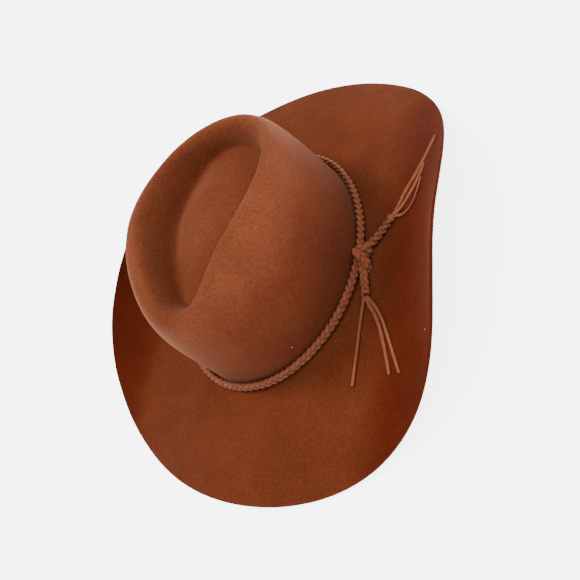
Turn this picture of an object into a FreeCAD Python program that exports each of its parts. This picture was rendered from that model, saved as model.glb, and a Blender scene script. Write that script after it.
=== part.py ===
import FreeCAD, Part
import math
import os

# Cowboy hat of wool felt, standing on its brim, in millimetres.
# The front is -Y, the wearer's left is +X, and the floor is z = 0.
# Every outline is an oval stepped round by an angle: 0 degrees is the front,
# 90 degrees the wearer's left and 180 degrees the back.

os.makedirs("parts", exist_ok=True)
doc = FreeCAD.newDocument("CowboyHat")

# ---------------------------------------------------------------- dimensions
PLACES = ["front", "front_quarter", "side", "back_quarter", "back"]

ROUND_THE_HAT = {
    "brim_reach": [92.5, 102.5, 89.5, 96.0, 92.75],
    "brim_start_slope": [1.0, -4.0, 4.0, 9.0, -3.0],
    "brim_end_slope": [-13.0, 2.0, 67.0, 0.0, -11.3],
    "crown_lean": [25.0, 35.0, 27.0, 17.0, 18.0],
    "ridge_height": [91.0, 103.0, 109.0, 99.0, 95.0],
    "dent_depth": [20.0, 28.0, 33.0, 26.0, 20.0],
    "dent_run": [15.0, 13.0, 16.0, 15.0, 15.0],
}

SINGLE = {
    "felt_gauge": 2.3,
    "base_half_width": 87.0,
    "base_half_length": 105.5,
    "base_height": 11.81,
    "island_height": 86.0,
    "sweatband_gauge": 1.2,
    "sweatband_width": 48.0,
    "sweatband_gap": 0.6,
    "sweatband_taper": 6.0,
    "reed_diameter": 2.0,
    "stitch_diameter": 0.7,
    "stitch_length": 4.2,
    "bow_length": 13.0,
    "band_width": 7.2,
    "band_depth": 4.4,
    "band_outset": 3.4,
    "band_rise": 5.6,
    "knot_height": 13.0,
    "knot_depth": 11.0,
    "knot_length": 15.0,
    "knot_angle": 93.5,
    "braid_diameter": 5.0,
    "wrap_diameter": 7.0,
    "wrap_length": 5.0,
    "lace_diameter": 1.8,
    "resting_gap": 0.8,
}


def fill_sheet():
    """A spreadsheet with one aliased cell for each driving dimension."""
    sheet = doc.addObject("Spreadsheet::Sheet", "Dimensions")
    values = dict(SINGLE)
    for name, stations in ROUND_THE_HAT.items():
        for place, value in zip(PLACES, stations):
            values[f"{name}_{place}"] = value
    for row, (alias, value) in enumerate(values.items(), start=1):
        sheet.set(f"A{row}", alias)
        sheet.set(f"B{row}", str(value))
        sheet.setAlias(f"B{row}", alias)
    doc.recompute()
    return sheet


sheet = fill_sheet()


def size(alias):
    return float(getattr(sheet, alias))


def make_series(name):
    """Cosine terms through the five values of a dimension that varies round the hat."""
    stations = [size(f"{name}_{place}") for place in PLACES]
    last = len(stations) - 1
    terms = []
    for k in range(last + 1):
        total = 0.0
        for j, value in enumerate(stations):
            weight = 0.5 if j in (0, last) else 1.0
            total += weight * value * math.cos(math.pi * j * k / last)
        terms.append(total * (1 if k in (0, last) else 2) / last)
    return terms


SERIES = {name: make_series(name) for name in ROUND_THE_HAT}


def around(name, theta):
    return sum(term * math.cos(k * theta) for k, term in enumerate(SERIES[name]))


# ------------------------------------------------------------- hat surfaces
BRIM_CURL = 1.65     # how late the brim's slope changes: 1 is a plain arc
BRIM_STEPS = 24

# Wall of the crown, as shares of the lean inwards and of the ridge height.
WALL_PROFILE = [(0.96, 0.995), (0.72, 0.985), (0.46, 0.90), (0.28, 0.72),
                (0.16, 0.48), (0.07, 0.22), (0.01, 0.045)]
# Wall of the dent, as shares of its run inwards and of its depth.
DENT_PROFILE = [(1.0, 1.0), (0.86, 0.84), (0.68, 0.50), (0.42, 0.18), (0.14, 0.01)]
# Floor of the dent, as shares of the way to the middle and of the rise.
ISLAND_PROFILE = [(0.92, 1.0), (0.80, 1.0), (0.58, 0.88), (0.36, 0.60), (0.16, 0.22)]
# Brim, as shares of its reach from the crown to the edge.
BRIM_SHARES = [0.05, 0.12, 0.24, 0.37, 0.50, 0.63, 0.76, 0.87, 0.95, 0.985, 1.0]
COLUMNS = 36


def oval_frame(theta):
    """Point of the base oval, and the direction pointing straight out of it."""
    half_width = size("base_half_width")
    half_length = size("base_half_length")
    point = FreeCAD.Vector(half_width * math.sin(theta), -half_length * math.cos(theta),
                           size("base_height"))
    out = FreeCAD.Vector(half_length * math.sin(theta), -half_width * math.cos(theta), 0)
    out.normalize()
    return point, out


def brim_point(theta, reach, lift=0.0):
    """Point on the brim's top face at a distance out from the crown, lifted off the felt."""
    point, out = oval_frame(theta)
    start = math.radians(around("brim_start_slope", theta))
    turn = math.radians(around("brim_end_slope", theta)) - start
    full = around("brim_reach", theta)
    step = reach / BRIM_STEPS
    across = 0.0
    up = 0.0
    for i in range(BRIM_STEPS):
        slope = start + turn * max((i + 0.5) * step / full, 0.0) ** BRIM_CURL
        across += step * math.cos(slope)
        up += step * math.sin(slope)
    slope = start + turn * (max(reach, 0.0) / full) ** BRIM_CURL
    across -= lift * math.sin(slope)
    up += lift * math.cos(slope)
    return point + out * across + FreeCAD.Vector(0, 0, up)


def crown_point(theta, inset, height):
    point, out = oval_frame(theta)
    return point - out * inset + FreeCAD.Vector(0, 0, height)


def top_section(theta):
    """Felt's top face at one angle, from the middle of the dent out to the brim's edge."""
    lean = around("crown_lean", theta)
    ridge = around("ridge_height", theta)
    run = around("dent_run", theta)
    depth = around("dent_depth", theta)
    crease = crown_point(theta, lean + run, ridge - depth)
    middle = FreeCAD.Vector(0, 0, size("base_height") + size("island_height"))
    points = []
    for inward, rise in ISLAND_PROFILE:
        plan = crease + (middle - crease) * inward
        plan.z = crease.z + (middle.z - crease.z) * rise
        points.append(plan)
    for inward, drop in DENT_PROFILE:
        points.append(crown_point(theta, lean + run * inward, ridge - depth * drop))
    for inward, rise in WALL_PROFILE:
        points.append(crown_point(theta, lean * inward, ridge * rise))
    points.append(crown_point(theta, 0, 0))
    for share in BRIM_SHARES:
        points.append(brim_point(theta, share * around("brim_reach", theta)))
    return points


def felt_side(first, second, hoop):
    normal = (second - first).cross(hoop)
    normal.normalize()
    return normal


def under_section(sections, column):
    """The same section on the underside, one felt gauge away from the top face."""
    here = sections[column]
    behind = sections[column - 1]
    ahead = sections[(column + 1) % COLUMNS]
    gauge = size("felt_gauge")
    points = [here[0] - FreeCAD.Vector(0, 0, gauge)]
    for i in range(1, len(here)):
        hoop = ahead[i] - behind[i]
        before = felt_side(here[i - 1], here[i], hoop)
        after = before
        if i + 1 < len(here):
            after = felt_side(here[i], here[i + 1], hoop)
        points.append(here[i] - (before + after) * (gauge / (1 + before.dot(after))))
    return points


# ------------------------------------------------------------------ helpers
def add_shape(name, shape):
    feature = doc.addObject("Part::Feature", name)
    feature.Shape = shape
    feature.Label = name
    return feature


def as_solid(faces):
    shell = Part.Shell(faces)
    shell.sewShape()
    solid = Part.Solid(shell)
    if solid.Volume < 0:
        solid.reverse()
    return solid


def add_oval(name, half_width, half_length, height):
    """A level ellipse, longest front to back, whose sizes are sheet expressions."""
    oval = doc.addObject("Part::Ellipse", name)
    oval.setExpression("MajorRadius", half_length)
    oval.setExpression("MinorRadius", half_width)
    oval.Placement = FreeCAD.Placement(FreeCAD.Vector(0, 0, 0),
                                       FreeCAD.Rotation(FreeCAD.Vector(0, 0, 1), 90))
    oval.setExpression("Placement.Base.z", height)
    return oval


def add_ring(name, half_width, half_length, height, radial_radius, upright_radius):
    """A ring of elliptical section round a level oval made of four tangent arcs."""
    end_radius = 1.05 * half_width ** 2 / half_length
    side_radius = ((half_length - end_radius) ** 2 + half_width ** 2 - end_radius ** 2) \
        / (2 * (half_width - end_radius))
    end_offset = half_length - end_radius
    side_offset = side_radius - half_width
    end_half_angle = math.degrees(math.atan2(side_offset, end_offset))
    up = FreeCAD.Vector(0, 0, 1)
    arcs = []
    for facing in (-90, 0, 90, 180):
        at_end = facing in (-90, 90)
        offset = end_offset if at_end else -side_offset
        radius = end_radius if at_end else side_radius
        half_angle = end_half_angle if at_end else 90 - end_half_angle
        turn = math.radians(facing)
        centre = FreeCAD.Vector(offset * math.cos(turn), offset * math.sin(turn), height)
        first = math.radians(facing - half_angle)
        out = FreeCAD.Vector(math.cos(first), math.sin(first), 0)
        middle = centre + out * radius
        if upright_radius > radial_radius:
            outline = Part.Ellipse(middle + up * upright_radius, middle + out * radial_radius, middle)
        else:
            outline = Part.Circle(middle, out.cross(up), radial_radius)
        section = Part.Face(Part.Wire([outline.toShape()]))
        arcs.append(section.revolve(centre, up, 2 * half_angle))
    return add_shape(name, arcs[0].multiFuse(arcs[1:]).removeSplitter())


def add_loft(name, sections):
    loft = doc.addObject("Part::Loft", name)
    loft.Sections = sections
    loft.Solid = True
    loft.Ruled = True
    return loft


# -------------------------------------------------------------------- pieces
def make_felt_body():
    """Crown and brim, blocked from one felt body: one skin from dent to raw edge and back."""
    angles = [2 * math.pi * column / COLUMNS for column in range(COLUMNS)]
    tops = [top_section(theta) for theta in angles]
    poles = []
    for column in range(COLUMNS):
        under = under_section(tops, column)
        poles.append(tops[column] + under[::-1])
    rows = len(poles[0])
    skin = Part.BSplineSurface()
    skin.buildFromPolesMultsKnots(
        poles,
        [1] * (COLUMNS + 1), [4] + [1] * (rows - 4) + [4],
        list(range(COLUMNS + 1)), list(range(rows - 2)),
        True, False, 3, 3)
    face = skin.toShape()
    lids = [Part.Face(Part.Wire([edge])) for edge in face.Edges if edge.isClosed()]
    return add_shape("felt_body", as_solid([face] + lids))


def make_sweatband():
    """Leather band standing inside the crown, leaning in with the crown's wall."""
    wall = "Dimensions.felt_gauge + Dimensions.sweatband_gap"
    inner = f"{wall} + Dimensions.sweatband_gauge"
    low = "Dimensions.base_height"
    high = "Dimensions.base_height + Dimensions.sweatband_width"
    shells = []
    for name, inset in (("SweatbandOutside", wall), ("SweatbandInside", inner)):
        ends = []
        for level, height, taper in (("Low", low, "0"), ("High", high, "Dimensions.sweatband_taper")):
            ends.append(add_oval(f"{name}{level}",
                                 f"Dimensions.base_half_width - ({inset} + {taper})",
                                 f"Dimensions.base_half_length - ({inset} + {taper})",
                                 height))
        shells.append(add_loft(name, ends))
    band = doc.addObject("Part::Cut", "sweatband")
    band.Base, band.Tool = shells
    band.Label = "sweatband"
    return band


def make_reed():
    """Taped reed along the sweatband's lower edge."""
    radius = size("reed_diameter") / 2
    inset = size("felt_gauge") + size("sweatband_gap") + radius
    return add_ring("sweatband_reed", size("base_half_width") - inset,
                    size("base_half_length") - inset,
                    size("base_height") - radius - 0.1, radius, radius)


def make_stitches(count=44):
    """Saddle stitches in a row just above the sweatband's lower edge."""
    radius = size("stitch_diameter") / 2
    inset = size("felt_gauge") + size("sweatband_gap") + size("sweatband_gauge") + radius + 0.6
    stitches = []
    for i in range(count):
        theta = 2 * math.pi * (i + 0.5) / count
        point, out = oval_frame(theta)
        along = FreeCAD.Vector(-out.y, out.x, 0)
        middle = point - out * inset + FreeCAD.Vector(0, 0, 4.0)
        start = middle - along * (size("stitch_length") / 2)
        stitches.append(Part.makeCylinder(radius, size("stitch_length"), start, along))
    return add_shape("sweatband_stitches", Part.makeCompound(stitches))


def make_bow():
    """Small ribbon bow over the sweatband's join at the back: two loops and their knot."""
    back = ("Dimensions.base_half_length - Dimensions.felt_gauge - Dimensions.sweatband_gap"
            " - Dimensions.sweatband_gauge - 3.2")
    parts = []
    for name, start, wide, tall in (("BowLoops", "-Dimensions.bow_length", "Dimensions.bow_length * 2",
                                     "Dimensions.bow_length / 2"),
                                    ("BowKnot", "-Dimensions.bow_length / 5",
                                     "Dimensions.bow_length / 2.5",
                                     "Dimensions.bow_length / 2 + 1")):
        box = doc.addObject("Part::Box", name)
        box.setExpression("Length", wide)
        box.setExpression("Height", tall)
        box.setExpression("Placement.Base.x", start)
        box.setExpression("Placement.Base.z", f"Dimensions.base_height + 10 - {tall} / 2")
        parts.append(box)
    loops, knot = parts
    loops.Width = 1.4
    knot.Width = 2.0
    loops.setExpression("Placement.Base.y", f"{back} - 1.4")
    knot.setExpression("Placement.Base.y", f"{back} - 2.0")
    bow = doc.addObject("Part::Fuse", "sweatband_bow")
    bow.Base = loops
    bow.Tool = knot
    bow.Label = "sweatband_bow"
    return bow


def make_hatband():
    """Braided lace ring that lies round the foot of the crown."""
    return add_ring("hatband_braid", size("base_half_width") + size("band_outset"),
                    size("base_half_length") + size("band_outset"),
                    size("base_height") + size("band_rise"),
                    size("band_depth") / 2, size("band_width") / 2)


def make_knot(hatband):
    """Knot that gathers the hatband's ends, with the band passing through it."""
    theta = math.radians(size("knot_angle"))
    point, out = oval_frame(theta)
    centre = point + out * (size("band_outset") + 2.2)
    centre.z += size("band_rise") + 2.6
    lump = doc.addObject("Part::Ellipsoid", "KnotLump")
    lump.setExpression("Radius1", "Dimensions.knot_height / 2")
    lump.setExpression("Radius2", "Dimensions.knot_depth / 2")
    lump.setExpression("Radius3", "Dimensions.knot_length / 2")
    turn = math.degrees(math.atan2(out.y, out.x))
    lump.Placement = FreeCAD.Placement(centre, FreeCAD.Rotation(FreeCAD.Vector(0, 0, 1), turn))
    knot = doc.addObject("Part::Cut", "hatband_knot")
    knot.Base = lump
    knot.Tool = hatband
    knot.Label = "hatband_knot"
    return knot


def rounded_path(points):
    """Straight runs joined by tangent arcs, so that a tube follows them without a fold."""
    edges = []
    start = points[0]
    tightest = None
    for i in range(1, len(points) - 1):
        before = points[i] - points[i - 1]
        after = points[i + 1] - points[i]
        turn = before.getAngle(after)
        cut = 0.45 * min(before.Length, after.Length)
        radius = cut / math.tan(turn / 2)
        tightest = radius if tightest is None else min(tightest, radius)
        before.normalize()
        after.normalize()
        arc_start = points[i] - before * cut
        arc_end = points[i] + after * cut
        bisector = after - before
        bisector.normalize()
        centre = points[i] + bisector * (radius / math.cos(turn / 2))
        arc_middle = centre - bisector * radius
        edges.append(Part.LineSegment(start, arc_start).toShape())
        edges.append(Part.Arc(arc_start, arc_middle, arc_end).toShape())
        start = arc_end
    edges.append(Part.LineSegment(start, points[-1]).toShape())
    return Part.Wire(edges), tightest


def make_tube(name, route, diameter):
    """Round lace lying on the brim along (angle round the hat, distance out) stations."""
    lift = size("resting_gap") + diameter / 2
    points = [brim_point(math.radians(angle), reach, lift + extra)
              for angle, reach, extra in route]
    path, radius = rounded_path(points)
    direction = points[1] - points[0]
    ring = Part.Wire([Part.Circle(points[0], direction, diameter / 2).toShape()])
    tube = path.makePipeShell([ring], True, False)
    expected = math.pi * diameter ** 2 / 4 * path.Length
    print(f"{name}: length {path.Length:.1f}, tightest bend {radius:.1f}, "
          f"volume {tube.Volume / expected:.3f} of section x length")
    return add_shape(name, tube), points


def make_wrap(name, points):
    """Lace wound round the end of a tail, just beyond its braid."""
    direction = points[-1] - points[-2]
    direction.normalize()
    start = points[-1] + direction * 0.1
    start.z += size("wrap_diameter") / 2 - size("braid_diameter") / 2
    barrel = Part.makeCylinder(size("wrap_diameter") / 2, size("wrap_length"), start, direction)
    return add_shape(name, barrel)


# Each route is (degrees round the hat, distance out on the brim, extra lift).
TAILS = {
    "back": {
        "braid": [(95.0, 13.0, 0.6), (98.0, 19.5, 0.3), (101.2, 26.5, 0), (103.6, 33.5, 0)],
        "laces": [
            [(106.7, 39.5, 0.3), (110.6, 47.0, 0), (115.2, 64.0, 0), (121.0, 80.0, 0)],
            [(105.6, 41.0, 0.3), (108.4, 50.0, 0), (113.0, 63.5, 0)],
            [(104.5, 42.0, 0.3), (105.0, 49.0, 0), (106.8, 56.0, 0), (109.2, 60.0, 0)],
        ],
    },
    "front": {
        "braid": [(88.0, 12.0, 0.6), (84.6, 13.5, 0.3), (80.6, 15.0, 0), (77.0, 17.0, 0)],
        "laces": [
            [(72.4, 17.5, 0.3), (66.5, 21.0, 0), (59.0, 29.0, 0), (48.1, 45.6, 0)],
            [(72.8, 20.2, 0.3), (69.0, 31.0, 0), (63.0, 45.0, 0), (56.9, 64.0, 0)],
            [(73.4, 22.8, 0.3), (71.5, 32.5, 0), (66.5, 46.5, 0), (58.8, 71.0, 0)],
        ],
    },
}


def make_tail(side, routes):
    braid, points = make_tube(f"{side}_tail_braid", routes["braid"], size("braid_diameter"))
    pieces = [braid, make_wrap(f"{side}_tail_wrap", points)]
    for number, route in enumerate(routes["laces"], start=1):
        lace, _ = make_tube(f"{side}_lace_{number}", route, size("lace_diameter"))
        pieces.append(lace)
    return pieces


def check_document():
    doc.recompute()
    for item in doc.Objects:
        if "Invalid" in item.State or "Error" in item.State:
            raise RuntimeError(f"{item.Label} didn't rebuild: {item.State}")
        shape = getattr(item, "Shape", None)
        if shape is not None and (shape.isNull() or not shape.isValid()):
            raise RuntimeError(f"{item.Label} isn't a valid shape")


hatband = make_hatband()
pieces = [make_felt_body(), make_sweatband(), make_reed(), make_stitches(), make_bow(),
          hatband, make_knot(hatband)]
for side, routes in TAILS.items():
    pieces += make_tail(side, routes)
check_document()

for piece in pieces:
    box = piece.Shape.BoundBox
    print(f"{piece.Label}: volume {piece.Shape.Volume:.0f}, z {box.ZMin:.2f} to {box.ZMax:.2f}, "
          f"y {box.YMin:.2f} to {box.YMax:.2f}, x {box.XMin:.2f} to {box.XMax:.2f}")
    piece.Shape.exportStep(f"parts/{piece.Label}.step")
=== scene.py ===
import math

import bpy
import numpy as np
from mathutils import Matrix, Vector, noise


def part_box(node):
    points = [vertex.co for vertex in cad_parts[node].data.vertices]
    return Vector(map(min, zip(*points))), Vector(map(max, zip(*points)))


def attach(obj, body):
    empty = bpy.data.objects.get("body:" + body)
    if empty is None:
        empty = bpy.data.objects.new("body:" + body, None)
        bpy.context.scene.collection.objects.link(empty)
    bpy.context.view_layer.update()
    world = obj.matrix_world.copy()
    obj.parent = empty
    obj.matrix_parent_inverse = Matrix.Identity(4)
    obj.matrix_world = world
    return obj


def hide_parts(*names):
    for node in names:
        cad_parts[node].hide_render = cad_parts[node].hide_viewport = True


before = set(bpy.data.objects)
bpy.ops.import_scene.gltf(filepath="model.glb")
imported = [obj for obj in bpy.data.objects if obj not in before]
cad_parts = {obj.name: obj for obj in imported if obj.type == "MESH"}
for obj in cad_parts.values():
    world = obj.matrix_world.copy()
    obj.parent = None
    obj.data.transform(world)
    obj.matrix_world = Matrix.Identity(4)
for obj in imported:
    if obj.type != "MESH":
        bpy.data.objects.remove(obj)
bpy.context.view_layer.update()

# Cowboy hat of wool felt with a braided suede hatband, in metres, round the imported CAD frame.
# The front is -Y, the wearer's left is +X. Outlines are ovals stepped round by an angle:
# 0 degrees is the front, 90 degrees the wearer's left and 180 degrees the back.

MM = 0.001
UP = np.array([0.0, 0.0, 1.0])

# ---------------------------------------------------------------- dimensions
# The hat's shape, the same as in the CAD, at the front, front quarter, side, back quarter, back.
BRIM_REACH = [92.5, 102.5, 89.5, 96.0, 92.75]
BRIM_START_SLOPE = [1.0, -4.0, 4.0, 9.0, -3.0]
BRIM_END_SLOPE = [-13.0, 2.0, 67.0, 0.0, -11.3]
CROWN_LEAN = [25.0, 35.0, 27.0, 17.0, 18.0]
RIDGE_HEIGHT = [91.0, 103.0, 109.0, 99.0, 95.0]
DENT_DEPTH = [20.0, 28.0, 33.0, 26.0, 20.0]
DENT_RUN = [15.0, 13.0, 16.0, 15.0, 15.0]
BRIM_CURL = 1.65
FELT_GAUGE = 2.3
BASE_HALF_WIDTH = 87.0
BASE_HALF_LENGTH = 105.5
BASE_HEIGHT = 11.81
ISLAND_HEIGHT = 86.0

# Wall of the crown, as shares of the lean inwards and of the ridge height.
WALL_PROFILE = [(0.96, 0.995), (0.72, 0.985), (0.46, 0.90), (0.28, 0.72),
                (0.16, 0.48), (0.07, 0.22), (0.01, 0.045)]
# Wall of the dent, as shares of its run inwards and of its depth.
DENT_PROFILE = [(1.0, 1.0), (0.86, 0.84), (0.68, 0.50), (0.42, 0.18), (0.14, 0.01)]
# Floor of the dent, as shares of the way to the middle and of the rise.
ISLAND_PROFILE = [(0.92, 1.0), (0.80, 1.0), (0.58, 0.88), (0.36, 0.60), (0.16, 0.22)]
# Brim, as shares of its reach from the crown to the edge.
BRIM_SHARES = [0.05, 0.12, 0.24, 0.37, 0.50, 0.63, 0.76, 0.87, 0.95, 0.985, 1.0]
COLUMNS = 36

BAND_OUTSET = 3.4
BAND_RISE = 5.6

# Mesh points to a span of the felt's skin, along a section and round the hat.
SECTION_POINTS = 16
ROUND_POINTS = 7
# Uneven shaping of the felt by hand, and the height of its nap.
FELT_RUMPLE = 0.9
FELT_NAP = 0.09

# Plaits are width over all, width and thickness of one lace, and length of one full turn.
BAND_PLAIT = (6.7, 3.2, 1.75, 16.8)
BAND_POINTS = 1300
BAND_LEAN = 30.0
BAND_WANDER = 0.35
KNOT_PLAIT = (7.2, 3.8, 2.2, 16.5)
TAIL_PLAIT = (7.6, 3.5, 1.95, 16.4)
TAIL_TAPER = 0.22
TAIL_LIFT = 3.0
TAIL_PHASES = {"back": 0.4, "front": 1.8}

# The knot sits at this angle round the hat, tilted up, and off the band by the offsets.
KNOT_ANGLE = 90.5
KNOT_TILT = 42.0
KNOT_OUT = 5.0
KNOT_UP = 8.0
KNOT_ACROSS = 3.0
# Turns of the knot, as millimetres across the band, along it and out of it.
KNOT_TURNS = [
    [(1.6, -9.6, -1.0), (1.8, -7.4, 0.4), (1.2, -3.4, 1.9), (1.8, 1.2, 2.0), (2.6, 5.6, 0.8),
     (2.6, 9.6, -0.6)],
    [(5.2, -5.2, -2.6), (5.6, -6.2, 0.8), (2.8, -6.8, 4.2), (-1.4, -6.4, 5.0),
     (-4.8, -5.0, 3.0), (-5.6, -3.6, -1.6)],
    [(-4.8, -4.0, -1.4), (-5.2, -1.8, 1.8), (-2.8, 0.8, 5.0), (1.2, 4.4, 5.8),
     (5.2, 7.8, 3.8), (7.0, 9.6, 0.4), (5.4, 10.6, -2.6)],
]
# Place along the band of the point that each turn faces away from.
KNOT_SPREAD = [0.0, -6.0, 3.0]

WRAP_WIDTH = 5.4
WRAP_DEPTH = 4.2
WRAP_LACE = (2.7, 1.4)
WRAP_TURNS = 1.3
WRAP_START = -0.6
WRAP_POINTS = 90
LACE_WIDTH = 2.9
LACE_THICKNESS = 1.25
LACE_LIFT = 1.2
LACE_TWISTS = {"back_lace_1": 0.5, "back_lace_2": 0.3, "back_lace_3": -0.4,
               "front_lace_1": 0.25, "front_lace_2": -0.3, "front_lace_3": 0.2}
# Each point of a route is degrees round the hat, distance out on the brim and extra lift above it.
TAILS = {
    "back": {
        "braid": [(94.2, 8.0, 2.4), (95.6, 13.0, 1.6), (98.2, 19.5, 0.6), (101.2, 26.5, 0.2),
                  (103.8, 34.0, 0.0)],
        "laces": [
            [(104.6, 35.5, 1.4), (106.7, 39.5, 0.3), (110.6, 48.0, 0), (114.4, 66.0, 0),
             (120.2, 85.0, 0)],
            [(104.2, 36.0, 1.6), (105.4, 42.0, 0.3), (108.4, 52.0, 0), (111.0, 62.5, 0),
             (114.4, 71.0, 0)],
            [(103.8, 36.5, 1.4), (102.9, 42.0, 0.3), (103.4, 50.0, 0), (106.2, 60.0, 0),
             (110.8, 66.0, 0)],
        ],
    },
    "front": {
        "braid": [(89.6, 8.4, 2.6), (87.0, 9.6, 2.0), (83.6, 11.4, 1.0), (80.0, 14.0, 0.3),
                  (76.6, 17.4, 0.0)],
        "laces": [
            [(75.4, 17.0, 2.3), (72.4, 17.5, 0.5), (66.5, 21.0, 0), (59.0, 29.0, 0),
             (48.1, 45.6, 0)],
            [(75.2, 18.4, 2.4), (73.4, 21.0, 0.6), (69.8, 33.0, 0), (64.2, 47.0, 0),
             (57.3, 65.5, 0)],
            [(75.2, 20.0, 2.4), (74.4, 24.0, 0.7), (70.6, 37.0, 0.3), (65.4, 50.5, 0),
             (58.9, 73.0, 0)],
        ],
    },
}

# Sweatband's section, as distance in from its outside and height, up one side and down the other.
SWEATBAND_HEIGHT = 48.0
SWEATBAND_GAP = 0.65
SWEATBAND_POINTS = 360
SWEATBAND_PROFILE = [(0.0, 0.15), (0.0, 1.0), (0.25, 6.0), (1.4, 18.0), (3.6, 34.0), (5.6, 46.0),
                     (5.9, 47.7), (6.5, 48.0), (7.1, 47.6), (7.0, 46.0), (4.8, 34.0), (2.6, 18.0),
                     (1.45, 6.0), (1.2, 1.0), (1.2, 0.15)]

# ------------------------------------------------------------------- colours
FELT_DARK = (0.070, 0.0140, 0.0040)
FELT_COLOUR = (0.082, 0.0172, 0.0052)
FELT_LIGHT = (0.094, 0.0206, 0.0068)
# Multipliers for painted sheen, paler and pinker towards the top of the crown, and for painted
# shade, darker and redder, on the brim's curled sides.
FELT_PAINTED_SHEEN = (1.42, 1.75, 2.20)
FELT_PAINTED_SHADE = (0.70, 0.36, 0.13)
LINT = (0.62, 0.40, 0.28)
SUEDE = (0.140, 0.033, 0.0100)
SUEDE_WORN = (0.205, 0.056, 0.0215)
# Multiplier for painted shade along the side edges of every lace.
SUEDE_PAINTED_SHADE = (0.46, 0.36, 0.30)

# --------------------------------------------------------- lights and camera
WARM_WHITE = (1.0, 0.95, 0.89)
SOFT_WHITE = (1.0, 0.985, 0.965)
LIGHT_DISTANCE = 2.2
# Name, azimuth, elevation, size in metres, power in watts and colour.
LIGHTS = [("key", 258, 60, 0.6, 62, WARM_WHITE), ("top", 60, 80, 1.0, 40, SOFT_WHITE),
          ("side", 120, 24, 1.8, 42, SOFT_WHITE), ("front", 20, 35, 2.0, 16, SOFT_WHITE)]
FLOOR_SIZE = 60
FLOOR_GLOW = 4.4
SKY_STRENGTH = 0.55

CAMERA_PLACE = (0.3110, -0.1669, 0.3594)
CAMERA_AZIMUTH = 63.06
CAMERA_ELEVATION = 47.44
CAMERA_ROLL = 56.70
CAMERA_LENS = 35.0


# -------------------------------------------------------------- mesh helpers
def unit(vectors):
    """The same directions, each one unit long."""
    return vectors / np.linalg.norm(vectors, axis=-1, keepdims=True)


def around(stations, theta):
    """Cosine series through five values given from the front round to the back."""
    last = len(stations) - 1
    steps = np.arange(last + 1)
    ends = np.where((steps == 0) | (steps == last), 0.5, 1.0)
    table = np.cos(np.pi * np.outer(steps, steps) / last)
    terms = 2.0 / last * ends * (table @ (ends * np.array(stations)))
    return np.cos(np.multiply.outer(theta, steps)) @ terms


def spline(points, per_span, closed):
    """Points on a cubic B-spline along the first axis of an array of poles."""
    if closed:
        poles = np.concatenate([points[-1:], points, points[:2]])
    else:
        poles = np.concatenate([2 * points[:1] - points[1:2], points,
                                2 * points[-1:] - points[-2:-1]])
    spans = len(poles) - 3
    t = np.arange(per_span) / per_span
    weights = np.stack([(1 - t) ** 3, 3 * t ** 3 - 6 * t ** 2 + 4,
                        -3 * t ** 3 + 3 * t ** 2 + 3 * t + 1, t ** 3]) / 6
    pieces = [np.tensordot(weights.T, poles[i:i + 4], axes=1) for i in range(spans)]
    result = np.concatenate(pieces)
    if not closed:
        result = np.concatenate([result, points[-1:]])
    return result


def add_mesh(name, vertices, faces, material, body, edge=None):
    """A smooth piece given in millimetres that rides a body of the frame."""
    mesh = bpy.data.meshes.new(name)
    mesh.from_pydata([tuple(v) for v in np.asarray(vertices) * MM], [], faces)
    mesh.validate()
    mesh.update()
    mesh.polygons.foreach_set("use_smooth", [True] * len(mesh.polygons))
    # The edge attribute holds the weight for painted shade at the laces' side edges.
    if edge is not None:
        mesh.attributes.new("edge", "FLOAT", "POINT").data.foreach_set("value", edge)
    piece = bpy.data.objects.new(name, mesh)
    bpy.context.scene.collection.objects.link(piece)
    mesh.materials.append(material)
    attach(piece, body)
    return piece


def grid_faces(rows, columns, closed_rows, closed_columns, start=0):
    """Quads of a grid whose points are stored row by row."""
    faces = []
    for i in range(rows if closed_rows else rows - 1):
        here = start + i * columns
        ahead = start + (i + 1) % rows * columns
        for j in range(columns if closed_columns else columns - 1):
            k = (j + 1) % columns
            faces.append((here + j, ahead + j, ahead + k, here + k))
    return faces


class Shell:
    """Vertices and faces gathered from several tubes into one mesh."""

    def __init__(self):
        self.vertices = []
        self.faces = []
        self.edge = []

    def tube(self, centres, sides, normals, outline, closed=False, widths=None):
        """A tube whose outline points are (along the side, along the normal) in millimetres."""
        count = len(centres)
        start = sum(len(block) for block in self.vertices)
        scale = np.ones(count) if widths is None else widths
        ring = (centres[:, None]
                + sides[:, None] * (outline[None, :, :1] * scale[:, None, None])
                + normals[:, None] * outline[None, :, 1:])
        points = len(outline)
        self.vertices.append(ring.reshape(-1, 3))
        # Weight for painted shade: 0 in the middle of a lace, 1 at its side edges.
        edge_shade_weight = np.abs(outline[:, 0]) / np.abs(outline[:, 0]).max()
        self.edge.append(np.tile(edge_shade_weight, count))
        self.faces += grid_faces(count, points, closed, True, start)
        if not closed:
            self.faces.append(tuple(start + j for j in range(points)))
            self.faces.append(tuple(start + (count - 1) * points + j
                                    for j in reversed(range(points))))

    def build(self, name, material, body):
        return add_mesh(name, np.concatenate(self.vertices), self.faces, material, body,
                        np.concatenate(self.edge))


def lace_outline(width, thickness, points=12, squareness=2.6):
    """Rounded, slightly cushioned outline of a flat lace."""
    turn = np.linspace(0, 2 * np.pi, points, endpoint=False)
    c = np.cos(turn)
    s = np.sin(turn)
    power = 2 / squareness
    return np.stack([np.sign(c) * np.abs(c) ** power * width / 2,
                     np.sign(s) * np.abs(s) ** power * thickness / 2], -1)


def tangents(points, closed=False):
    """Directions along a line of points."""
    if closed:
        return unit(np.roll(points, -1, 0) - np.roll(points, 1, 0))
    return unit(np.gradient(points, axis=0))


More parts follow.
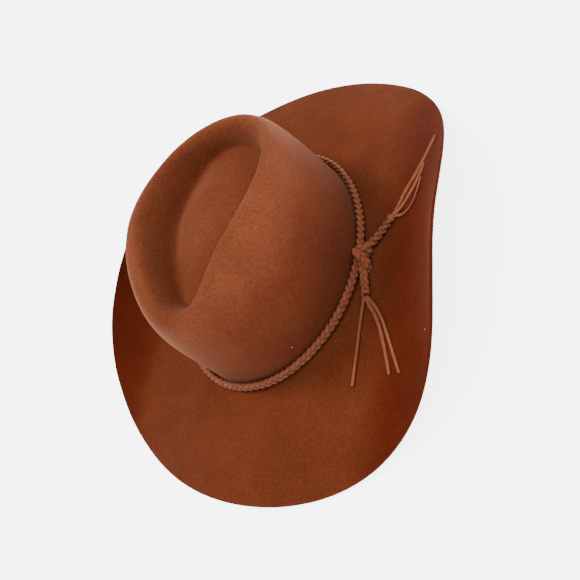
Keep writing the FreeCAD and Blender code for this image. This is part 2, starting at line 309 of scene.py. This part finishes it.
# ---------------------------------------------------------------- hat shape
def oval_frame(theta):
    """Points of the base oval, and the directions pointing straight out of it."""
    zero = np.zeros_like(theta)
    point = np.stack([BASE_HALF_WIDTH * np.sin(theta), -BASE_HALF_LENGTH * np.cos(theta),
                      zero + BASE_HEIGHT], -1)
    out = unit(np.stack([BASE_HALF_LENGTH * np.sin(theta), -BASE_HALF_WIDTH * np.cos(theta),
                         zero], -1))
    return point, out


def brim_point(theta, reach, lift=0.0, steps=24):
    """Point of the brim's top face at a distance out from the crown, and the face's normal."""
    theta = np.atleast_1d(np.asarray(theta, float))
    point, out = oval_frame(theta)
    start = np.radians(around(BRIM_START_SLOPE, theta))
    turn = np.radians(around(BRIM_END_SLOPE, theta)) - start
    full = around(BRIM_REACH, theta)
    step = reach / steps
    across = 0.0
    up = 0.0
    for i in range(steps):
        slope = start + turn * np.maximum((i + 0.5) * step / full, 0) ** BRIM_CURL
        across = across + step * np.cos(slope)
        up = up + step * np.sin(slope)
    slope = start + turn * np.maximum(reach / full, 0) ** BRIM_CURL
    normal = np.cos(slope)[:, None] * UP - np.sin(slope)[:, None] * out
    place = point + out * np.atleast_1d(across)[:, None] + np.atleast_1d(up)[:, None] * UP
    return place + normal * lift, normal


def crown_point(theta, inset, height):
    """Point straight in from the base oval and above it."""
    point, out = oval_frame(theta)
    return point - out * inset[:, None] + height[:, None] * UP


def top_sections(theta):
    """Felt's top face at each angle, from the middle of the dent out to the brim's edge."""
    lean = around(CROWN_LEAN, theta)
    ridge = around(RIDGE_HEIGHT, theta)
    run = around(DENT_RUN, theta)
    depth = around(DENT_DEPTH, theta)
    crease = crown_point(theta, lean + run, ridge - depth)
    middle = np.array([0, 0, BASE_HEIGHT + ISLAND_HEIGHT])
    rows = []
    for inward, rise in ISLAND_PROFILE:
        plan = crease + (middle - crease) * inward
        plan[:, 2] = crease[:, 2] + (middle[2] - crease[:, 2]) * rise
        rows.append(plan)
    rows += [crown_point(theta, lean + run * inward, ridge - depth * drop)
             for inward, drop in DENT_PROFILE]
    rows += [crown_point(theta, lean * inward, ridge * rise) for inward, rise in WALL_PROFILE]
    rows.append(crown_point(theta, lean * 0, lean * 0))
    rows += [brim_point(theta, share * around(BRIM_REACH, theta))[0] for share in BRIM_SHARES]
    return np.stack(rows, 1)


def under_sections(tops):
    """The same sections on the underside, one felt gauge away from the top face."""
    hoops = np.roll(tops, -1, 0) - np.roll(tops, 1, 0)
    steps = np.diff(tops, axis=1)
    before = unit(np.cross(steps, hoops[:, 1:]))
    after = unit(np.cross(steps, hoops[:, :-1]))
    after = np.concatenate([after[:, 1:], before[:, -1:]], 1)
    mitre = (before + after) / (1 + (before * after).sum(-1, keepdims=True))
    under = tops.copy()
    under[:, 0] -= FELT_GAUGE * UP
    under[:, 1:] -= FELT_GAUGE * mitre
    return under


# ----------------------------------------------------------------- materials
def new_material(name):
    """A material with its nodes, links and shader."""
    material = bpy.data.materials.new(name)
    material.use_nodes = True
    nodes = material.node_tree.nodes
    shader = nodes["Principled BSDF"]
    return material, nodes, material.node_tree.links, shader


def noise_node(nodes, links, coordinates, scale, detail=4.0, roughness=0.55, distortion=0.0):
    node = nodes.new("ShaderNodeTexNoise")
    node.inputs["Scale"].default_value = scale
    node.inputs["Detail"].default_value = detail
    node.inputs["Roughness"].default_value = roughness
    node.inputs["Distortion"].default_value = distortion
    links.new(coordinates, node.inputs["Vector"])
    return node.outputs["Fac"]


def ramp_node(nodes, links, factor, stops):
    node = nodes.new("ShaderNodeValToRGB")
    ramp = node.color_ramp
    while len(ramp.elements) < len(stops):
        ramp.elements.new(0.5)
    for element, (place, colour) in zip(ramp.elements, stops):
        element.position = place
        element.color = (*colour, 1)
    links.new(factor, node.inputs["Fac"])
    return node.outputs["Color"]


def mix_node(nodes, links, factor, first, second, blend="MIX"):
    node = nodes.new("ShaderNodeMix")
    node.data_type = "RGBA"
    node.blend_type = blend
    for socket, value in ((node.inputs["Factor"], factor), (node.inputs["A"], first),
                          (node.inputs["B"], second)):
        if isinstance(value, bpy.types.NodeSocket):
            links.new(value, socket)
        elif isinstance(value, tuple):
            socket.default_value = (*value, 1)
        else:
            socket.default_value = value
    return node.outputs["Result"]


def range_node(nodes, links, value, low, high):
    """A value eased from 0 at the low place to 1 at the high one."""
    node = nodes.new("ShaderNodeMapRange")
    node.interpolation_type = "SMOOTHSTEP"
    node.inputs["From Min"].default_value = low
    node.inputs["From Max"].default_value = high
    links.new(value, node.inputs["Value"])
    return node.outputs["Result"]


def bump_node(nodes, links, height, distance, strength, under=None):
    node = nodes.new("ShaderNodeBump")
    node.inputs["Distance"].default_value = distance
    node.inputs["Strength"].default_value = strength
    links.new(height, node.inputs["Height"])
    if under is not None:
        links.new(under, node.inputs["Normal"])
    return node.outputs["Normal"]


def make_felt():
    """Napped wool felt: mottled rust brown with short fuzz and a few pale specks, with painted
    sheen high on the crown and painted shade on the brim's sides.
    """
    material, nodes, links, shader = new_material("felt")
    place = nodes.new("ShaderNodeTexCoord").outputs["Object"]
    blotch = noise_node(nodes, links, place, 22, 5, 0.6, 0.4)
    colour = ramp_node(nodes, links, blotch, [(0.30, FELT_DARK), (0.52, FELT_COLOUR),
                                              (0.74, FELT_LIGHT)])
    flecks = noise_node(nodes, links, place, 520, 4, 0.75)
    fleck_colour = ramp_node(nodes, links, flecks, [(0.33, (0.62, 0.55, 0.50)),
                                                    (0.66, (1.12, 1.14, 1.20))])
    colour = mix_node(nodes, links, 0.8, colour, fleck_colour, "MULTIPLY")
    axes = nodes.new("ShaderNodeSeparateXYZ")
    links.new(place, axes.inputs["Vector"])
    # Painted sheen: the crown is multiplied paler and pinker towards its top, where its nap would
    # catch the light.
    high = range_node(nodes, links, axes.outputs["Z"], 0.072, 0.118)
    colour = mix_node(nodes, links, high, colour, FELT_PAINTED_SHEEN, "MULTIPLY")
    # Painted shade: the brim's curled sides, far out along X, are multiplied darker and redder, as
    # if lit only by light bounced off the felt.
    outward = nodes.new("ShaderNodeMath")
    outward.operation = "ABSOLUTE"
    links.new(axes.outputs["X"], outward.inputs[0])
    side = range_node(nodes, links, outward.outputs["Value"], 0.100, 0.140)
    colour = mix_node(nodes, links, side, colour, FELT_PAINTED_SHADE, "MULTIPLY")
    specks = nodes.new("ShaderNodeTexVoronoi")
    specks.inputs["Scale"].default_value = 60
    links.new(place, specks.inputs["Vector"])
    lint = ramp_node(nodes, links, specks.outputs["Distance"],
                     [(0.0, (1, 1, 1)), (0.018, (1, 1, 1)), (0.03, (0, 0, 0))])
    keep = noise_node(nodes, links, place, 9, 1)
    keep = ramp_node(nodes, links, keep, [(0.60, (0, 0, 0)), (0.64, (1, 1, 1))])
    lint = mix_node(nodes, links, 1.0, lint, keep, "MULTIPLY")
    colour = mix_node(nodes, links, lint, colour, LINT)
    links.new(colour, shader.inputs["Base Color"])
    shader.inputs["Roughness"].default_value = 0.95
    shader.inputs["Specular IOR Level"].default_value = 0.08
    shader.inputs["Sheen Weight"].default_value = 0.12
    shader.inputs["Sheen Roughness"].default_value = 0.45
    shader.inputs["Sheen Tint"].default_value = (0.95, 0.45, 0.28, 1)
    nap = noise_node(nodes, links, place, 1500, 3, 0.7)
    pile = noise_node(nodes, links, place, 260, 4, 0.65)
    normal = bump_node(nodes, links, pile, 0.0006, 0.35)
    normal = bump_node(nodes, links, nap, 0.0003, 0.55, normal)
    links.new(normal, shader.inputs["Normal"])
    return material


def make_suede(name, colour, worn):
    """Matte split leather with a short nap, worn paler in random patches."""
    material, nodes, links, shader = new_material(name)
    place = nodes.new("ShaderNodeTexCoord").outputs["Object"]
    patches = noise_node(nodes, links, place, 160, 4, 0.6)
    tone = ramp_node(nodes, links, patches, [(0.32, colour), (0.70, worn)])
    grain = noise_node(nodes, links, place, 1400, 3, 0.7)
    shade = ramp_node(nodes, links, grain, [(0.30, (0.72, 0.68, 0.66)), (0.70, (1, 1, 1))])
    tone = mix_node(nodes, links, 0.8, tone, shade, "MULTIPLY")
    # Painted shade: each lace is darkened towards its side edges, where the laces of a plait shade
    # one another.
    attribute = nodes.new("ShaderNodeAttribute")
    attribute.attribute_name = "edge"
    edge = range_node(nodes, links, attribute.outputs["Fac"], 0.62, 1.0)
    tone = mix_node(nodes, links, edge, tone, SUEDE_PAINTED_SHADE, "MULTIPLY")
    links.new(tone, shader.inputs["Base Color"])
    shader.inputs["Roughness"].default_value = 0.85
    shader.inputs["Specular IOR Level"].default_value = 0.25
    shader.inputs["Sheen Weight"].default_value = 0.2
    shader.inputs["Sheen Roughness"].default_value = 0.5
    shader.inputs["Sheen Tint"].default_value = (1.0, 0.55, 0.38, 1)
    normal = bump_node(nodes, links, grain, 0.00025, 0.6)
    links.new(normal, shader.inputs["Normal"])
    return material


def make_leather(name, colour, roughness):
    """Smooth leather with a fine pebbled grain."""
    material, nodes, links, shader = new_material(name)
    place = nodes.new("ShaderNodeTexCoord").outputs["Object"]
    grain = nodes.new("ShaderNodeTexVoronoi")
    grain.inputs["Scale"].default_value = 1100
    links.new(place, grain.inputs["Vector"])
    tone = noise_node(nodes, links, place, 60, 4, 0.6)
    dark = tuple(0.7 * c for c in colour)
    links.new(ramp_node(nodes, links, tone, [(0.3, dark), (0.7, colour)]),
              shader.inputs["Base Color"])
    shader.inputs["Roughness"].default_value = roughness
    normal = bump_node(nodes, links, grain.outputs["Distance"], 0.00015, 0.4)
    links.new(normal, shader.inputs["Normal"])
    return material


def make_woven(name, colour, roughness, threads):
    """Fine woven tape, ribbon or thread."""
    material, nodes, links, shader = new_material(name)
    place = nodes.new("ShaderNodeTexCoord").outputs["Object"]
    weave = noise_node(nodes, links, place, threads, 2, 0.5)
    dark = tuple(0.6 * c for c in colour)
    links.new(ramp_node(nodes, links, weave, [(0.35, dark), (0.65, colour)]),
              shader.inputs["Base Color"])
    shader.inputs["Roughness"].default_value = roughness
    shader.inputs["Sheen Weight"].default_value = 0.3
    normal = bump_node(nodes, links, weave, 0.0001, 0.5)
    links.new(normal, shader.inputs["Normal"])
    return material


felt = make_felt()
suede = make_suede("suede_lace", SUEDE, SUEDE_WORN)
sweat_leather = make_leather("sweatband_leather", (0.19, 0.075, 0.032), 0.5)
tape = make_woven("reed_tape", (0.13, 0.055, 0.03), 0.9, 2200)
thread = make_woven("thread", (0.48, 0.30, 0.16), 0.7, 3000)
ribbon = make_woven("ribbon", (0.13, 0.045, 0.022), 0.45, 1800)


# ------------------------------------------------------------------ felt body
def make_felt_body():
    """Crown and brim in one skin, hand-shaped a little off true, with a raw cut edge."""
    theta = 2 * np.pi * np.arange(COLUMNS) / COLUMNS
    tops = top_sections(theta)
    under = under_sections(tops)
    poles = np.concatenate([tops, under[:, ::-1]], 1)
    skin = spline(poles, SECTION_POINTS, closed=True)
    skin = spline(np.swapaxes(skin, 0, 1), ROUND_POINTS, closed=False)
    rows, columns = skin.shape[:2]
    points = skin.reshape(-1, 3)
    rumple = np.array([noise.noise(Vector(p) * 0.016) + 0.35 * noise.noise(Vector(p) * 0.05)
                       for p in points])
    pile = np.array([noise.noise(Vector(p) * 1.1) for p in points])
    hoops = np.roll(skin, -1, 1) - np.roll(skin, 1, 1)
    normals = unit(np.cross(np.gradient(skin, axis=0), hoops)).reshape(-1, 3)
    out_of_floor = np.clip((points[:, 2] - 1.0) / 6.0, 0, 1)
    points = points + UP * (rumple * FELT_RUMPLE * out_of_floor)[:, None]
    points = points + normals * (pile * FELT_NAP)[:, None]
    faces = grid_faces(rows, columns, False, True)
    tip_top = len(points)
    points = np.concatenate([points, [points[:columns].mean(0)], [points[-columns:].mean(0)]])
    last = (rows - 1) * columns
    for j in range(columns):
        k = (j + 1) % columns
        faces.append((tip_top, j, k))
        faces.append((tip_top + 1, last + k, last + j))
    piece = add_mesh("felt_hat", points, faces, felt, "hat")
    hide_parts("felt_body")


# --------------------------------------------------------------------- braids
def plait(shell, path, normals, width, lace_width, lace_thickness, pitch, closed=False,
          phase=0.0, taper=0.0):
    """Three flat laces plaited along a path, with the chevrons on the normal's side."""
    along = tangents(path, closed)
    normals = unit(normals - (normals * along).sum(-1, keepdims=True) * along)
    sides = np.cross(along, normals)
    steps = np.linalg.norm(np.diff(path, axis=0), axis=-1)
    run = np.concatenate([[0], np.cumsum(steps)])
    if closed:
        whole = run[-1] + np.linalg.norm(path[0] - path[-1])
        pitch = whole / round(whole / pitch)
    narrowing = 1 - taper * run / run[-1]
    sway = (width - lace_width) / 2 * 1.06 * narrowing
    rise = lace_thickness * 0.62
    outline = lace_outline(lace_width, lace_thickness)
    for k in range(3):
        turn = 2 * np.pi * run / pitch + 2 * np.pi * k / 3 + phase
        centres = (path + sides * (sway * np.sin(turn))[:, None]
                   + normals * (rise * np.sin(2 * turn))[:, None])
        heading = tangents(centres, closed)
        tilt = normals + sides * (0.30 * np.sin(turn))[:, None]
        face = unit(tilt - (tilt * heading).sum(-1, keepdims=True) * heading)
        across = np.cross(heading, face)
        shell.tube(centres, across, face, outline, closed, narrowing)


def resample(points, spacing):
    """Evenly spaced points along a smooth curve through the given poles."""
    curve = spline(np.asarray(points, float), 24, closed=False)
    run = np.concatenate([[0], np.cumsum(np.linalg.norm(np.diff(curve, axis=0), axis=-1))])
    count = max(int(run[-1] / spacing) + 1, 4)
    stations = np.linspace(0, run[-1], count)
    return np.stack([np.interp(stations, run, curve[:, axis]) for axis in range(3)], -1)


def make_hatband():
    """Plaited ring round the foot of the crown, leaning back on it."""
    theta = 2 * np.pi * np.arange(BAND_POINTS) / BAND_POINTS
    half_width = BASE_HALF_WIDTH + BAND_OUTSET
    half_length = BASE_HALF_LENGTH + BAND_OUTSET
    _, out = oval_frame(theta)
    wander = np.array([noise.noise(Vector((math.cos(t) * 3, math.sin(t) * 3, 5))) for t in theta])
    path = np.stack([half_width * np.sin(theta), -half_length * np.cos(theta),
                     BASE_HEIGHT + BAND_RISE + BAND_WANDER * wander], -1)
    path = path + out * (BAND_WANDER * wander[::-1])[:, None]
    lean = math.radians(BAND_LEAN)
    normals = out * math.cos(lean) + UP * math.sin(lean)
    shell = Shell()
    plait(shell, path, normals, *BAND_PLAIT, closed=True)
    piece = shell.build("hatband_plait", suede, "hatband")
    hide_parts("hatband_braid")


# ----------------------------------------------------------------------- knot
def knot_frame():
    """The knot's centre, and its across, along and out directions."""
    theta = np.radians([KNOT_ANGLE])
    point, out = oval_frame(theta)
    out = out[0]
    tilt = math.radians(KNOT_TILT)
    face = out * math.cos(tilt) + UP * math.sin(tilt)
    along = unit(np.cross(out, UP))
    across = np.cross(along, face)
    if across[2] > 0:
        across = -across
    centre = point[0] + out * KNOT_OUT + UP * KNOT_UP + across * KNOT_ACROSS
    return centre, across, along, face


def make_knot():
    """Turns of the plaited ends drawn tight over the band."""
    centre, across, along, face = knot_frame()
    shell = Shell()
    for number, turn in enumerate(KNOT_TURNS):
        poles = [centre + across * a + along * b + face * c for a, b, c in turn]
        path = resample(poles, 0.5)
        normals = unit(path - (centre - face * 4.0 + along * KNOT_SPREAD[number]))
        plait(shell, path, normals, *KNOT_PLAIT, phase=0.6 + number)
    piece = shell.build("hatband_tie", suede, "hatband")
    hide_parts("hatband_knot")


# ---------------------------------------------------------------------- tails
def brim_normal_at(points):
    """Normals of the brim's top face under the given points."""
    theta = np.arctan2(points[:, 0] / BASE_HALF_WIDTH, -points[:, 1] / BASE_HALF_LENGTH)
    base, out = oval_frame(theta)
    reach = np.maximum(((points - base) * out).sum(-1), 0)
    return np.stack([brim_point(t, r * 1.02)[1][0] for t, r in zip(theta, reach)])


def route_points(route, lift):
    """Points on the brim, one for each station of a route."""
    return np.concatenate([brim_point(math.radians(angle), reach, lift + extra)[0]
                           for angle, reach, extra in route])


def nurbs_route(name, points):
    """Evenly spaced points read back from the NURBS spline of a route, in millimetres."""
    curve = bpy.data.curves.new(name, "CURVE")
    curve.dimensions = "3D"
    curve.resolution_u = 24
    line = curve.splines.new("NURBS")
    line.points.add(len(points) - 1)
    for slot, point in zip(line.points, points):
        slot.co = (*(point * MM), 1)
    line.order_u = 3
    line.use_endpoint_u = True
    holder = bpy.data.objects.new(name, curve)
    bpy.context.scene.collection.objects.link(holder)
    bpy.context.view_layer.update()
    mesh = bpy.data.meshes.new_from_object(holder)
    path = np.array([tuple(v.co) for v in mesh.vertices]) / MM
    bpy.data.objects.remove(holder)
    bpy.data.meshes.remove(mesh)
    run = np.concatenate([[0], np.cumsum(np.linalg.norm(np.diff(path, axis=0), axis=-1))])
    stations = np.linspace(0, run[-1], max(int(run[-1] / 0.7), 8))
    path = np.stack([np.interp(stations, run, path[:, axis]) for axis in range(3)], -1)
    return path, run[-1]


def make_tail_braid(side, route):
    """Plait that narrows a little from the knot to its bound end."""
    path = resample(route_points(route, TAIL_LIFT), 0.45)
    shell = Shell()
    plait(shell, path, brim_normal_at(path), *TAIL_PLAIT, phase=TAIL_PHASES[side],
          taper=TAIL_TAPER)
    piece = shell.build(f"{side}_tail_plait", suede, f"{side}_tail")
    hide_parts(f"{side}_tail_braid")
    return path


def make_wrap(side, path):
    """A lace bound round the tail's end, a little over one turn."""
    heading = unit(path[-1] - path[-6])
    normal = brim_normal_at(path[-1:])[0]
    normal = unit(normal - heading * (normal @ heading))
    across = np.cross(heading, normal)
    turn = np.linspace(WRAP_START, WRAP_TURNS * 2 * np.pi + WRAP_START, WRAP_POINTS)
    advance = np.linspace(-1.6, 1.2, WRAP_POINTS)
    centre = path[-1] + normal * 0.2
    points = (centre + heading * advance[:, None]
              + across * (np.cos(turn) * WRAP_WIDTH / 2)[:, None]
              + normal * (np.sin(turn) * WRAP_DEPTH / 2)[:, None])
    along = tangents(points)
    outward = points - (centre + heading * advance[:, None])
    outward = unit(outward - (outward * along).sum(-1, keepdims=True) * along)
    shell = Shell()
    shell.tube(points, np.cross(along, outward), outward, lace_outline(*WRAP_LACE))
    piece = shell.build(f"{side}_tail_binding", suede, f"{side}_tail")
    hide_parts(f"{side}_tail_wrap")


def make_lace(side, number, route):
    """One loose end of flat suede lace, twisting a little as it lies on the brim."""
    name = f"{side}_lace_{number}"
    path, length = nurbs_route(f"{name}_route", route_points(route, LACE_LIFT))
    along = tangents(path)
    normals = brim_normal_at(path)
    sides = np.cross(along, normals)
    share = np.linspace(0, 1, len(path))
    twist = LACE_TWISTS[name] * np.sin(np.pi * share * 0.9 + 0.3)
    tilted = unit(normals * np.cos(twist)[:, None] + sides * np.sin(twist)[:, None])
    tilted = unit(tilted - (tilted * along).sum(-1, keepdims=True) * along)
    widths = 1.0 - 0.12 * share + 0.05 * np.sin(share * 21 + number)
    shell = Shell()
    shell.tube(path, np.cross(along, tilted), tilted, lace_outline(LACE_WIDTH, LACE_THICKNESS),
               widths=widths)
    piece = shell.build(f"{name}_strip", suede, f"{side}_fringe")
    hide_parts(name)
    print(f"{name}: {length:.1f} mm")


def make_tail(side, routes):
    """One tail of the knot: its plait, its binding and its loose laces."""
    path = make_tail_braid(side, routes["braid"])
    make_wrap(side, path)
    for number, route in enumerate(routes["laces"], start=1):
        make_lace(side, number, route)


# ------------------------------------------------------------- inside the hat
def make_sweatband():
    """Leather strip standing in the crown, with a rounded top edge and a slight ripple."""
    theta = 2 * np.pi * np.arange(SWEATBAND_POINTS) / SWEATBAND_POINTS
    start = FELT_GAUGE + SWEATBAND_GAP
    rows = []
    for inward, height in SWEATBAND_PROFILE:
        share = height / SWEATBAND_HEIGHT
        ripple = 0.25 * np.sin(theta * 9 + 1.0) * share ** 2
        half_width = BASE_HALF_WIDTH - start - inward
        half_length = BASE_HALF_LENGTH - start - inward
        _, out = oval_frame(theta)
        ring = np.stack([half_width * np.sin(theta), -half_length * np.cos(theta),
                         theta * 0 + BASE_HEIGHT + height], -1)
        rows.append(ring - out * (ripple + 0.25)[:, None] * share)
    skin = spline(np.stack(rows), 4, closed=False)
    faces = grid_faces(len(skin), SWEATBAND_POINTS, False, True)
    last = (len(skin) - 1) * SWEATBAND_POINTS
    for j in range(SWEATBAND_POINTS):
        k = (j + 1) % SWEATBAND_POINTS
        faces.append((j, k, last + k, last + j))
    piece = add_mesh("sweatband_strip", skin.reshape(-1, 3), faces, sweat_leather,
                     "hat")
    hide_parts("sweatband")


def make_bow():
    """Ribbon bow: two loops, two cut ends and a middle turn."""
    box_low, box_high = (np.array(c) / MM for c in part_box("sweatband_bow"))
    centre = (box_low + box_high) / 2
    x_axis = np.array([1.0, 0, 0])
    y_axis = np.array([0, 1.0, 0])
    shell = Shell()
    outline = lace_outline(5.6, 0.45, 12, 5)
    for side in (-1, 1):
        turn = np.linspace(0, 2 * np.pi, 60)
        reach = 5.8 * (1 - np.cos(turn))
        bulge = 0.9 * np.sin(turn)
        loop = (centre + x_axis * (side * (0.6 + reach))[:, None] + y_axis * bulge[:, None]
                + UP * (0.5 * np.sin(turn / 2))[:, None])
        along = tangents(loop)
        sides = np.tile(UP, (len(loop), 1))
        shell.tube(loop, sides, np.cross(along, sides), outline,
                   widths=0.55 + 0.45 * np.sin(turn / 2))
        share = np.linspace(0, 1, 20)
        tail = (centre + x_axis * (side * (0.5 + 8.0 * share))[:, None]
                + UP * (-3.6 * share ** 1.2)[:, None] - y_axis * 0.6)
        along = tangents(tail)
        facing = np.tile(-y_axis, (len(tail), 1))
        shell.tube(tail, np.cross(along, facing), facing, lace_outline(4.0, 0.4, 12, 5),
                   widths=0.6 + 0.4 * share)
    turn = np.linspace(0, 2 * np.pi, 40, endpoint=False)
    knot = centre + UP * (np.cos(turn) * 2.6)[:, None] + y_axis * (np.sin(turn) * 1.2)[:, None]
    along = tangents(knot, True)
    sides = np.tile(x_axis, (len(knot), 1))
    shell.tube(knot, sides, np.cross(along, sides), lace_outline(3.0, 0.5, 12, 5), closed=True)
    piece = shell.build("sweatband_ribbon", ribbon, "hat")
    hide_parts("sweatband_bow")


def finish_cad_nodes():
    """Reed and stitches keep their CAD shape and take their own materials."""
    for node, material in (("sweatband_reed", tape), ("sweatband_stitches", thread)):
        node_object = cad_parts[node]
        for place in node_object.material_slots:
            place.material = material


make_felt_body()
make_hatband()
make_knot()
for tail_side, tail_routes in TAILS.items():
    make_tail(tail_side, tail_routes)
make_sweatband()
make_bow()
finish_cad_nodes()


# ---------------------------------------------------------------- surroundings
def make_floor():
    """Pale floor with a soft glow of its own, which keeps it bright behind the dark felt."""
    material, _, _, shader = new_material("floor")
    shader.inputs["Base Color"].default_value = (0.90, 0.885, 0.86, 1)
    shader.inputs["Roughness"].default_value = 0.9
    shader.inputs["Emission Color"].default_value = (0.95, 0.965, 1.0, 1)
    shader.inputs["Emission Strength"].default_value = FLOOR_GLOW
    bpy.ops.mesh.primitive_plane_add(size=FLOOR_SIZE, location=(0, 0, 0))
    floor = bpy.context.object
    floor.name = "floor"
    floor.data.materials.append(material)


def add_area_light(name, azimuth, elevation, size, power, colour):
    """A square soft light aimed at the hat, placed by its direction from the hat."""
    a = math.radians(azimuth)
    e = math.radians(elevation)
    direction = Vector((math.sin(a) * math.cos(e), -math.cos(a) * math.cos(e), math.sin(e)))
    data = bpy.data.lights.new(name, "AREA")
    data.size = size
    data.energy = power
    data.color = colour
    light = bpy.data.objects.new(name, data)
    light.location = direction * LIGHT_DISTANCE
    light.rotation_euler = direction.to_track_quat("Z", "Y").to_euler()
    bpy.context.scene.collection.objects.link(light)


def make_lights():
    """Soft studio lights and a pale sky."""
    for light in LIGHTS:
        add_area_light(*light)
    world = bpy.data.worlds.new("studio")
    bpy.context.scene.world = world
    world.use_nodes = True
    background = world.node_tree.nodes["Background"]
    background.inputs["Color"].default_value = (0.95, 0.97, 1.0, 1)
    background.inputs["Strength"].default_value = SKY_STRENGTH


def make_camera():
    """Camera at the photograph's angle, rolled as the hat is seen there."""
    a = math.radians(CAMERA_AZIMUTH)
    e = math.radians(CAMERA_ELEVATION)
    backward = Vector((math.sin(a) * math.cos(e), -math.cos(a) * math.cos(e), math.sin(e)))
    level = backward.to_track_quat("Z", "Y").to_matrix()
    turned = level @ Matrix.Rotation(-math.radians(CAMERA_ROLL), 3, "Z")
    data = bpy.data.cameras.new("camera")
    data.lens = CAMERA_LENS
    camera = bpy.data.objects.new("camera", data)
    camera.matrix_world = Matrix.Translation(CAMERA_PLACE) @ turned.to_4x4()
    bpy.context.scene.collection.objects.link(camera)
    bpy.context.scene.camera = camera


make_floor()
make_lights()
make_camera()
